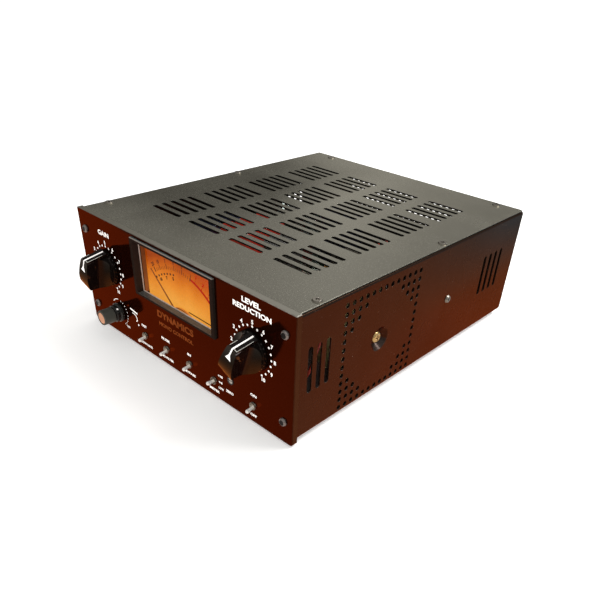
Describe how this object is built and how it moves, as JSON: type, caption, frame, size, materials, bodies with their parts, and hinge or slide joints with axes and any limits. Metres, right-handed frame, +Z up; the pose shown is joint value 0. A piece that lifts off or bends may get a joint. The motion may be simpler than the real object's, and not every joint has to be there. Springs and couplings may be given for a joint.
{
  "type": "rack compressor",
  "caption": "Half-rack audio compressor: folded vented case, thick front panel with an amber level meter, pointer knobs and small toggles, sockets at the rear.",
  "frame": {"origin": "centre of the resting plane under the feet, below the middle of the overall length and width", "axes": "+X to the right seen from the front, +Y from the front panel to the rear, +Z up"},
  "size_m": [0.217, 0.2768, 0.0895],
  "materials": {
    "case_paint": "satin",
    "cover_paint": "satin",
    "panel_paint": "semi-gloss",
    "dark_screw": "satin",
    "bright_screw": "polished",
    "gold_screw": "satin",
    "rubber": "matte",
    "wound_core": "satin",
    "plain_steel": "satin",
    "board": "satin",
    "ceramic": "matte",
    "valve_glass": "polished",
    "valve_metal": "satin",
    "film_red": "gloss",
    "capacitor_sleeve": "satin",
    "can": "satin",
    "core_steel": "satin",
    "bezel_black": "satin",
    "meter_window": "polished",
    "dial": "matte",
    "lamp": "polished",
    "needle": "matte",
    "knob_black": "gloss",
    "knob_grey": "satin",
    "lever_chrome": "polished",
    "connector": "satin",
    "wire": "satin"
  },
  "bodies": {
    "case": {"board_screws": "plain_steel", "board_standoffs": "plain_steel", "chassis_tub": "case_paint", "control_board": "board", "control_nuts": "plain_steel", "cover_screws": "bright_screw", "electrolytic_capacitors": "capacitor_sleeve", "feet": "rubber", "film_capacitors": "film_red", "front_panel": "panel_paint", "input_socket": "connector", "input_transformer": "can", "link_jack": "connector", "main_board": "board", "mains_inlet": "connector", "meter_bezel": "bezel_black", "meter_body": "bezel_black", "meter_dial": "dial", "meter_glass": "meter_window", "meter_lamps": "lamp", "meter_movement": "plain_steel", "movement_cover": "bezel_black", "optical_cell": "can", "output_socket": "connector", "output_transformer": "core_steel", "panel_screws": "dark_screw", "potentiometers": "plain_steel", "rear_panel": "case_paint", "rear_screws": "bright_screw", "regulator_bracket": "can", "side_screw": "bright_screw", "toggle_bodies": "plain_steel", "toggle_nuts": "plain_steel", "top_cover": "cover_paint", "toroid_bolt": "gold_screw", "toroid_pads": "rubber", "toroid_transformer": "wound_core", "toroid_washer": "plain_steel", "valve_bulbs": "valve_glass", "valve_electrodes": "valve_metal", "valve_sockets": "ceramic", "wiring": "wire", "zero_trimmer": "knob_grey"},
    "gain": {"gain_knob": "knob_black", "gain_shaft": "plain_steel", "gain_set_screw": "dark_screw"},
    "reduction": {"reduction_knob": "knob_black", "reduction_shaft": "plain_steel", "reduction_set_screw": "dark_screw"},
    "emphasis": {"emphasis_knob": "knob_grey", "emphasis_shaft": "plain_steel"},
    "toggle_1": {"toggle_lever_1": "lever_chrome"},
    "toggle_2": {"toggle_lever_2": "lever_chrome"},
    "toggle_3": {"toggle_lever_3": "lever_chrome"},
    "meter_toggle": {"meter_toggle_lever": "lever_chrome"},
    "power_toggle": {"power_toggle_lever": "lever_chrome"},
    "needle": {"vu_needle": "needle"},
    "zero_trim": {"trim_screw": "plain_steel"},
    "latch": {"latch_button": "bright_screw"},
    "drawer": {"fuse_drawer": "connector"}
  },
  "joints": [
    {"name": "gain_turn", "type": "hinge", "parent": "case", "child": "gain", "pos_m": [-0.0769, -0.11875, 0.0533], "axis": [0, 1, 0], "range_deg": [-168, 132]},
    {"name": "reduction_turn", "type": "hinge", "parent": "case", "child": "reduction", "pos_m": [0.0744, -0.11875, 0.0534], "axis": [0, 1, 0], "range_deg": [-174, 126]},
    {"name": "emphasis_turn", "type": "hinge", "parent": "case", "child": "emphasis", "pos_m": [-0.0695, -0.11875, 0.021], "axis": [0, 1, 0], "range_deg": [-150, 150]},
    {"name": "toggle_1_flip", "type": "hinge", "parent": "case", "child": "toggle_1", "pos_m": [-0.0393, -0.11575, 0.0135], "axis": [-1, 0, 0], "range_deg": [0, 26]},
    {"name": "toggle_2_flip", "type": "hinge", "parent": "case", "child": "toggle_2", "pos_m": [-0.0138, -0.11575, 0.0135], "axis": [-1, 0, 0], "range_deg": [0, 26]},
    {"name": "toggle_3_flip", "type": "hinge", "parent": "case", "child": "toggle_3", "pos_m": [0.0118, -0.11575, 0.0135], "axis": [-1, 0, 0], "range_deg": [0, 26]},
    {"name": "meter_toggle_flip", "type": "hinge", "parent": "case", "child": "meter_toggle", "pos_m": [0.0373, -0.11575, 0.0135], "axis": [-1, 0, 0], "range_deg": [-13, 13]},
    {"name": "power_toggle_flip", "type": "hinge", "parent": "case", "child": "power_toggle", "pos_m": [0.0746, -0.11575, 0.0135], "axis": [-1, 0, 0], "range_deg": [0, 26]},
    {"name": "needle_swing", "type": "hinge", "parent": "case", "child": "needle", "pos_m": [-0.0005, -0.11075, 0.0325], "axis": [0, 1, 0], "range_deg": [0, 93.5]},
    {"name": "zero_trim_turn", "type": "hinge", "parent": "case", "child": "zero_trim", "pos_m": [0.0538, -0.11875, 0.0216], "axis": [0, 1, 0], "range_deg": [-140, 140]},
    {"name": "latch_press", "type": "slide", "parent": "case", "child": "latch", "axis": [0, -1, 0], "range_m": [0, 0.0015]},
    {"name": "fuse_drawer_slide", "type": "slide", "parent": "case", "child": "drawer", "axis": [0, 1, 0], "range_m": [0, 0.018]}
  ]
}
